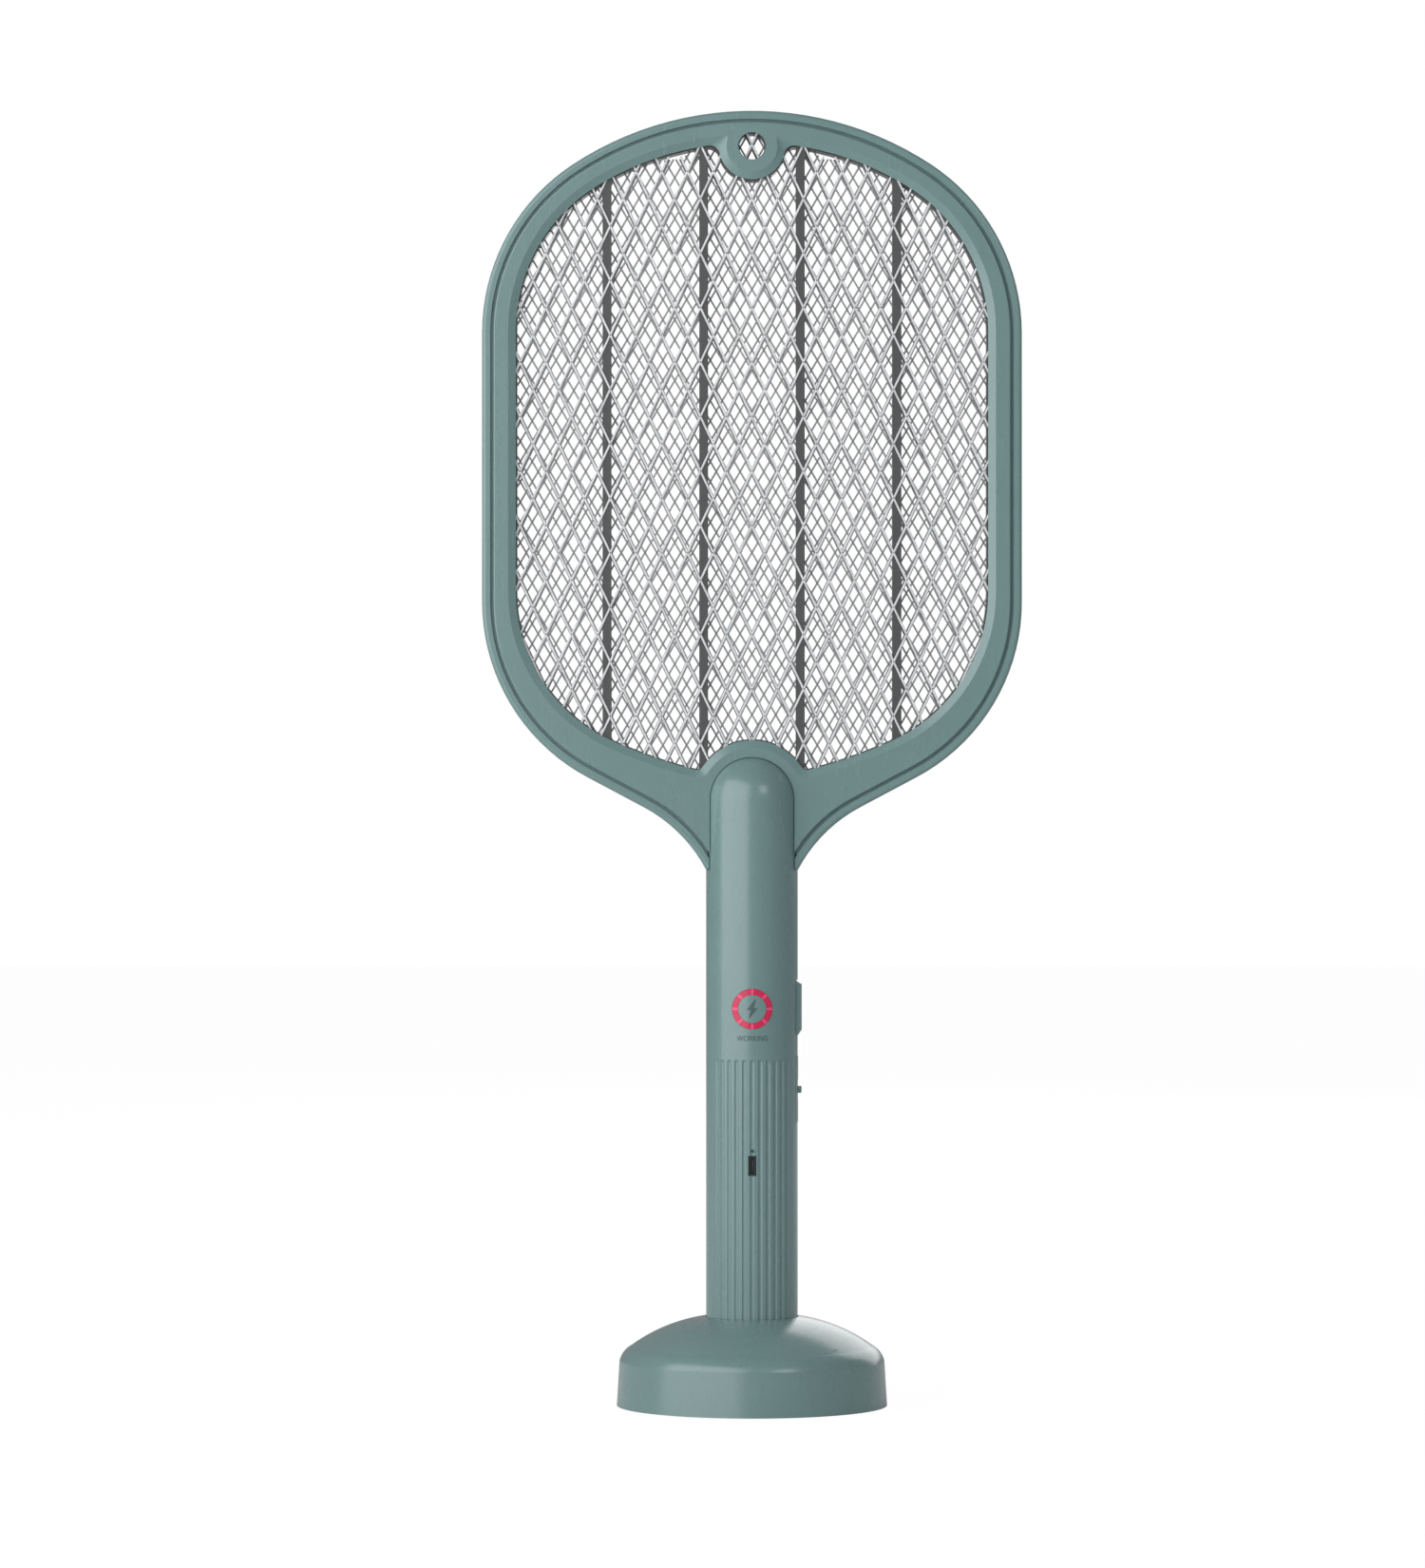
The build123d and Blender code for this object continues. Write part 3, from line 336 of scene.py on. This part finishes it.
def inside_opening(x, z, outset):
    """True where (x, z) lies in the head's opening, grown by outset: crown arc, shoulder arcs, straight
    sides, hip arcs and floor arcs, less the arch band round the handle's dome, plus the pad behind the
    hanging hole."""
    side = np.abs(x)
    crown_z = OPEN_TOP - OPEN_CROWN_R
    shoulder_x = OPEN_HALF - OPEN_SHOULDER_R
    shoulder_z = crown_z + math.sqrt((OPEN_CROWN_R - OPEN_SHOULDER_R) ** 2 - shoulder_x ** 2)
    hip_x = OPEN_HALF - OPEN_HIP_R
    floor_x = hip_x - (OPEN_FLOOR_R - OPEN_HIP_R) * math.cos(OPEN_HIP_TURN)
    floor_z = OPEN_HIP_Z + (OPEN_FLOOR_R - OPEN_HIP_R) * math.sin(OPEN_HIP_TURN)
    inside = side < OPEN_HALF + outset
    inside &= (z < crown_z) | (np.hypot(side, z - crown_z) < OPEN_CROWN_R + outset)
    in_shoulder = (z > shoulder_z) & (side > shoulder_x)
    inside &= ~in_shoulder | (np.hypot(side - shoulder_x, z - shoulder_z) < OPEN_SHOULDER_R + outset)
    turn = np.arctan2(OPEN_HIP_Z - z, side - hip_x)
    low = z < OPEN_HIP_Z
    in_hip = low & (turn < OPEN_HIP_TURN)
    inside &= ~in_hip | (np.hypot(side - hip_x, z - OPEN_HIP_Z) < OPEN_HIP_R + outset)
    in_floor = low & (turn >= OPEN_HIP_TURN)
    inside &= ~in_floor | (np.hypot(side - floor_x, z - floor_z) < OPEN_FLOOR_R + outset)
    inside &= (np.hypot(x, z - DOME_Z) > ARCH_R - outset) & ((side > ARCH_R - outset) | (z > DOME_Z))
    return inside | (np.hypot(x, z - BOSS_Z) < BOSS_PAD)


def clip(start, end, outset):
    """Shortens each strand to the part that lies inside the opening, by halving from its inner end."""
    keep_start = inside_opening(start[:, 0], start[:, 1], outset)
    keep_end = inside_opening(end[:, 0], end[:, 1], outset)
    inner = np.where(keep_start[:, None], start, end)
    outer = np.where(keep_start[:, None], end, start)
    reach = np.where(keep_start & keep_end, 1.0, 0.0)
    step = 0.5
    for _ in range(CLIP_HALVINGS):
        point = inner + (outer - inner) * (reach + step)[:, None]
        grow = inside_opening(point[:, 0], point[:, 1], outset) & (reach < 1.0)
        reach = np.where(grow, np.minimum(reach + step, 1.0), reach)
        step /= 2
    used = (keep_start | keep_end) & (reach > SHORTEST_SHARE)
    return inner[used], (inner + (outer - inner) * reach[:, None])[used]


def strand_mesh(width, height, strand, thick, y, outset, centre_z):
    """Expanded metal: every diamond's four sides are flat bars between the nodes of a slanted grid.
    A bar's section is a hexagon with half axes strand/2 across and thick/2 along Y."""
    columns = int(OPEN_HALF * 2 / width) + 3
    rows = int(SHEET_REACH / height) + 3
    i, j = np.meshgrid(np.arange(-columns, columns + 1), np.arange(-rows, rows + 1), indexing="ij")
    even = (i + j) % 2 == 0
    nodes = np.stack([i[even] * width / 2, centre_z + j[even] * height / 2], axis=1)
    starts, ends = [], []
    for rise in (1, -1):
        starts.append(nodes)
        ends.append(nodes + np.array([width / 2, rise * height / 2]))
    start, end = clip(np.concatenate(starts), np.concatenate(ends), outset)
    along = end - start
    along /= np.linalg.norm(along, axis=1)[:, None]
    across = np.stack([-along[:, 1], along[:, 0]], axis=1)
    angles = np.radians(np.arange(BAR_SIDES) * 360.0 / BAR_SIDES)
    side = np.cos(angles) * strand / 2
    out = np.sin(angles) * thick / 2
    rings = []
    for point in (start, end):
        x = point[:, None, 0] + across[:, None, 0] * side
        z = point[:, None, 1] + across[:, None, 1] * side
        rings.append(np.stack([x, np.broadcast_to(y + out, x.shape), z], axis=2))
    vertices = np.concatenate(rings, axis=1).reshape(-1, 3)
    base = np.arange(len(start))[:, None, None] * 2 * BAR_SIDES
    k = np.arange(BAR_SIDES)
    following = (k + 1) % BAR_SIDES
    quad = np.stack([k, following, following + BAR_SIDES, k + BAR_SIDES], axis=1)
    faces = (base + quad[None]).reshape(-1, 4).tolist()
    caps = np.concatenate([base[:, 0] + k[::-1], base[:, 0] + k + BAR_SIDES], axis=0).tolist()
    return vertices, faces + caps


def make_grid(name, node, settings, material):
    """One expanded metal sheet in place of a CAD grid, half way through the grid's depth."""
    width, height, strand, thick, outset = settings
    low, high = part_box(node)
    y = (low[1] + high[1]) / 2
    vertices, faces = strand_mesh(width, height, strand, thick, y, outset, (OPEN_TOP + DOME_Z) / 2)
    piece = make_piece(name, vertices, faces, material)
    turn_outwards(piece)
    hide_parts(node)


def turn_outwards(piece):
    """Turns every bar's faces outwards."""
    sheet = bmesh.new()
    sheet.from_mesh(piece.data)
    bmesh.ops.recalc_face_normals(sheet, faces=sheet.faces)
    sheet.to_mesh(piece.data)
    sheet.free()


def wrap_on_handle(flat, radius, centre_z):
    """Wraps (x, z) drawn on a plane round the handle's front: the angle is x over the radius."""
    angle = flat[:, 0] / radius
    return np.stack([radius * np.sin(angle), -radius * np.cos(angle), centre_z + flat[:, 1]], axis=1)


# ---------------------------------------------------------------- operators
class ZAPPER_OT_finishes(bpy.types.Operator):
    """Give every moulded, metal and inner CAD piece its finish"""

    bl_idname = "zapper.finishes"
    bl_label = "Finishes"

    def execute(self, context):
        look = context.scene.zapper_shell
        dress(SHELL_NODES, moulded_plastic("shell_plastic", look.plastic))
        dress(("stand_floor",), moulded_plastic("floor_plastic", shade(look.plastic, 0.9), rough=0.5,
                                                grain=0.3))
        dress(BLACK_NODES, moulded_plastic("carrier_plastic", look.carrier, rough=0.45, grain=0.25))
        dress(STEEL_NODES, turned_steel("plated_steel"))
        dress(("indicator_ring",), lit_ring("lit_ring", look.lamp, middle_height("indicator_ring")))
        dress(("usb_socket",), simple_finish("dark_tin", (0.10, 0.11, 0.115), 0.35, metallic=0.6))
        dress(("charge_light",), simple_finish("charge_lens", (0.06, 0.09, 0.09), 0.2))
        dress(("board_leds",), simple_finish("chip_white", (0.8, 0.78, 0.7), 0.3))
        dress(("main_board", "side_board"), board_finish("solder_mask"))
        dress(("transformer_core",), simple_finish("ferrite", (0.03, 0.03, 0.033), 0.6))
        dress(("transformer_winding",), simple_finish("winding_tape", (0.75, 0.55, 0.08), 0.3))
        dress(("hv_capacitors",), simple_finish("capacitor_dip", (0.42, 0.09, 0.03), 0.25))
        dress(("battery_cell",), simple_finish("cell_wrap", (0.06, 0.16, 0.45), 0.3))
        dress(("live_lead",), simple_finish("lead_red", (0.45, 0.015, 0.015), 0.45))
        dress(("guard_lead",), simple_finish("lead_black", (0.015, 0.015, 0.015), 0.45))
        dress(("stand_feet",), simple_finish("foot_rubber", (0.025, 0.025, 0.026), 0.75))
        dress(("live_grid", "front_guard_grid", "rear_guard_grid"),
              grid_metal("sheet_metal", (0.6, 0.6, 0.6), 0.35))
        return {"FINISHED"}


class ZAPPER_OT_grids(bpy.types.Operator):
    """Weave the two guard grids and the fine live grid, all in the one grid metal with painted light: the front
    guard is brightened as a painted highlight, and the rear guard and live grid are darkened as painted shade
    """

    bl_idname = "zapper.grids"
    bl_label = "Grids"

    def execute(self, context):
        grid = context.scene.zapper_grid
        # Painted highlight: the front guard is the grid metal brightened 1.45 times, so that its strands read
        # as lit white.
        guard = grid_metal("front_guard_painted_highlight", shade(grid.metal, 1.45), 0.45, metallic=0.2)
        # Painted shade: the rear guard and the live grid are the same grid metal darkened to 0.8 and 0.75
        # times, standing in for shade, not for a darker metal.
        rear = grid_metal("rear_guard_painted_shade", shade(grid.metal, 0.8), 0.45, metallic=0.2)
        live = grid_metal("live_grid_painted_shade", shade(grid.metal, 0.75), 0.45, metallic=0.2)
        guard_pitch = (grid.guard_width, grid.guard_height)
        live_pitch = (grid.live_width, grid.live_height)
        make_grid("front_guard_mesh", "front_guard_grid",
                  (*guard_pitch, grid.guard_strand, GUARD_THICK, GUARD_OUTSET), guard)
        make_grid("rear_guard_mesh", "rear_guard_grid",
                  (*guard_pitch, grid.rear_strand, GUARD_THICK, GUARD_OUTSET), rear)
        make_grid("live_mesh", "live_grid", (*live_pitch, grid.live_strand, LIVE_THICK, LIVE_OUTSET), live)
        return {"FINISHED"}


class ZAPPER_OT_marks(bpy.types.Operator):
    """Print the word under the lamp and the bolt on its centre"""

    bl_idname = "zapper.marks"
    bl_label = "Marks"

    def execute(self, context):
        look = context.scene.zapper_shell
        ink = simple_finish("mark_ink", look.ink, 0.5)
        pale_ink = simple_finish("bolt_ink", shade(look.plastic, 0.45), 0.4)
        ring_z = middle_height("indicator_ring")
        self.word(ink, ring_z - WORD_DROP)
        self.bolt(pale_ink, ring_z)
        return {"FINISHED"}

    def word(self, ink, centre_z):
        """Flat lettering made a mesh, fitted to its width and height, then wrapped on the handle."""
        curve = bpy.data.curves.new("word_outline", "FONT")
        curve.body = "WORKING"
        curve.resolution_u = 3
        drawn = bpy.data.objects.new("word_outline", curve)
        bpy.context.scene.collection.objects.link(drawn)
        bpy.context.view_layer.update()
        mesh = bpy.data.meshes.new_from_object(drawn.evaluated_get(bpy.context.evaluated_depsgraph_get()))
        bpy.data.objects.remove(drawn)
        bpy.data.curves.remove(curve)
        flat = np.empty(len(mesh.vertices) * 3)
        mesh.vertices.foreach_get("co", flat)
        flat = flat.reshape(-1, 3)[:, :2]
        middle = (flat.min(0) + flat.max(0)) / 2
        span = flat.max(0) - flat.min(0)
        flat = (flat - middle) / span * np.array([WORD_WIDE, WORD_TALL])
        mesh.vertices.foreach_set("co", wrap_on_handle(flat, HANDLE_R + WORD_LIFT, centre_z).ravel())
        mesh.name = "working_label"
        mesh.materials.clear()
        mesh.materials.append(ink)
        mesh.update()
        ride_racket("working_label", mesh)

    def bolt(self, ink, centre_z):
        """Two tapering blades, each a bilinear patch between its four corners, wrapped on the disc."""
        steps = np.linspace(0.0, 1.0, BOLT_CELLS + 1)
        u, v = (grid.ravel()[:, None] for grid in np.meshgrid(steps, steps, indexing="ij"))
        vertices, faces = [], []
        cell = np.arange(BOLT_CELLS ** 2)
        row = BOLT_CELLS + 1
        for number, corners in enumerate(BOLT_BLADES):
            a, b, c, d = (np.array(corner) for corner in corners)
            flat = a * (1 - u) * (1 - v) + b * u * (1 - v) + c * (1 - u) * v + d * u * v
            vertices.append(wrap_on_handle(flat, HANDLE_R + BOLT_LIFT, centre_z))
            first = number * row ** 2 + cell // BOLT_CELLS * row + cell % BOLT_CELLS
            faces += np.stack([first, first + row, first + row + 1, first + 1], axis=1).tolist()
        make_piece("bolt_sign", np.concatenate(vertices), faces, ink)


class ZAPPER_OT_studio(bpy.types.Operator):
    """Set the camera, the lamps, the floor and the white surroundings"""

    bl_idname = "zapper.studio"
    bl_label = "Studio"

    def execute(self, context):
        studio = context.scene.zapper_studio
        self.camera(studio)
        self.lamps(studio)
        self.world()
        self.floor(self.paper("studio_paper"))
        context.scene.view_settings.view_transform = "Standard"
        return {"FINISHED"}

    def camera(self, studio):
        data = bpy.data.cameras.new("studio_camera")
        data.lens = studio.focal_length
        data.sensor_width = SENSOR_WIDTH
        camera = bpy.data.objects.new("studio_camera", data)
        camera.location = (studio.camera_side, -studio.camera_distance, studio.camera_height)
        camera.rotation_euler = (math.pi / 2, 0.0, 0.0)
        bpy.context.scene.collection.objects.link(camera)
        bpy.context.scene.camera = camera

    def lamps(self, studio):
        self.lamp("key_box", *KEY_BOX, studio.key_power)
        self.lamp("right_fill", *RIGHT_FILL, studio.fill_power)
        self.lamp("back_fill", *BACK_FILL, studio.fill_power * BACK_FILL_SHARE)

    def lamp(self, name, place, wide, tall, power):
        data = bpy.data.lights.new(name, "AREA")
        data.shape = "RECTANGLE"
        data.size = wide
        data.size_y = tall
        data.energy = power
        lamp = bpy.data.objects.new(name, data)
        lamp.location = place
        lamp.rotation_euler = (Vector(LAMP_TARGET) - Vector(place)).to_track_quat("-Z", "Y").to_euler()
        bpy.context.scene.collection.objects.link(lamp)

    def world(self):
        world = bpy.data.worlds.new("studio_world")
        world.use_nodes = True
        tree = world.node_tree
        tree.nodes.clear()
        path = add(tree, "ShaderNodeLightPath")
        sky = add(tree, "ShaderNodeBackground", {"Color": SKY_TINT, "Strength": SKY_STRENGTH})
        white = add(tree, "ShaderNodeBackground", {"Color": WHITE, "Strength": 1.0})
        mix = add(tree, "ShaderNodeMixShader", {0: path.outputs["Is Camera Ray"], 1: sky.outputs[0],
                                                2: white.outputs[0]})
        output = add(tree, "ShaderNodeOutputWorld")
        tree.links.new(mix.outputs[0], output.inputs[0])
        bpy.context.scene.world = world

    def paper(self, name):
        """Pale paper that the camera sees as near white, with the object's shadow kept."""
        material = bpy.data.materials.new(name)
        material.use_nodes = True
        tree = material.node_tree
        tree.nodes.clear()
        path = add(tree, "ShaderNodeLightPath")
        matt = add(tree, "ShaderNodeBsdfDiffuse", {"Color": PAPER_COLOUR})
        glow = add(tree, "ShaderNodeEmission", {"Color": WHITE, "Strength": PAPER_GLOW})
        share = add(tree, "ShaderNodeMath", {0: path.outputs["Is Camera Ray"], 1: PAPER_SHARE},
                    operation="MULTIPLY")
        mix = add(tree, "ShaderNodeMixShader", {0: share.outputs[0], 1: matt.outputs[0], 2: glow.outputs[0]})
        output = add(tree, "ShaderNodeOutputMaterial")
        tree.links.new(mix.outputs[0], output.inputs[0])
        return material

    def floor(self, material):
        corners = [(x * FLOOR_HALF, y * FLOOR_HALF, 0) for x, y in ((-1, -1), (1, -1), (1, 1), (-1, 1))]
        mesh = bpy.data.meshes.new("studio_floor")
        mesh.from_pydata(corners, [], [(0, 1, 2, 3)])
        mesh.materials.append(material)
        piece = bpy.data.objects.new("studio_floor", mesh)
        bpy.context.scene.collection.objects.link(piece)


class ZAPPER_PT_panel(bpy.types.Panel):
    """Sidebar panel that lists the building steps"""

    bl_idname = "ZAPPER_PT_panel"
    bl_label = "Bug Zapper"
    bl_space_type = "VIEW_3D"
    bl_region_type = "UI"
    bl_category = "Zapper"

    def draw(self, context):
        for step in STEPS:
            self.layout.operator(step)
        for group in (context.scene.zapper_shell, context.scene.zapper_grid, context.scene.zapper_studio):
            for name in group.bl_rna.properties.keys():
                if name not in ("rna_type", "name"):
                    self.layout.prop(group, name)


STEPS = ("zapper.studio", "zapper.finishes", "zapper.grids", "zapper.marks")
CLASSES = (ZapperShellSettings, ZapperGridSettings, ZapperStudioSettings, ZAPPER_OT_finishes,
           ZAPPER_OT_grids, ZAPPER_OT_marks, ZAPPER_OT_studio, ZAPPER_PT_panel)


def register():
    for item in CLASSES:
        bpy.utils.register_class(item)
    bpy.types.Scene.zapper_shell = bpy.props.PointerProperty(type=ZapperShellSettings)
    bpy.types.Scene.zapper_grid = bpy.props.PointerProperty(type=ZapperGridSettings)
    bpy.types.Scene.zapper_studio = bpy.props.PointerProperty(type=ZapperStudioSettings)


def unregister():
    del bpy.types.Scene.zapper_shell
    del bpy.types.Scene.zapper_grid
    del bpy.types.Scene.zapper_studio
    for item in reversed(CLASSES):
        bpy.utils.unregister_class(item)


def main():
    register()
    for step in STEPS:
        group, name = step.split(".")
        getattr(getattr(bpy.ops, group), name)()


if __name__ == "__main__":
    main()
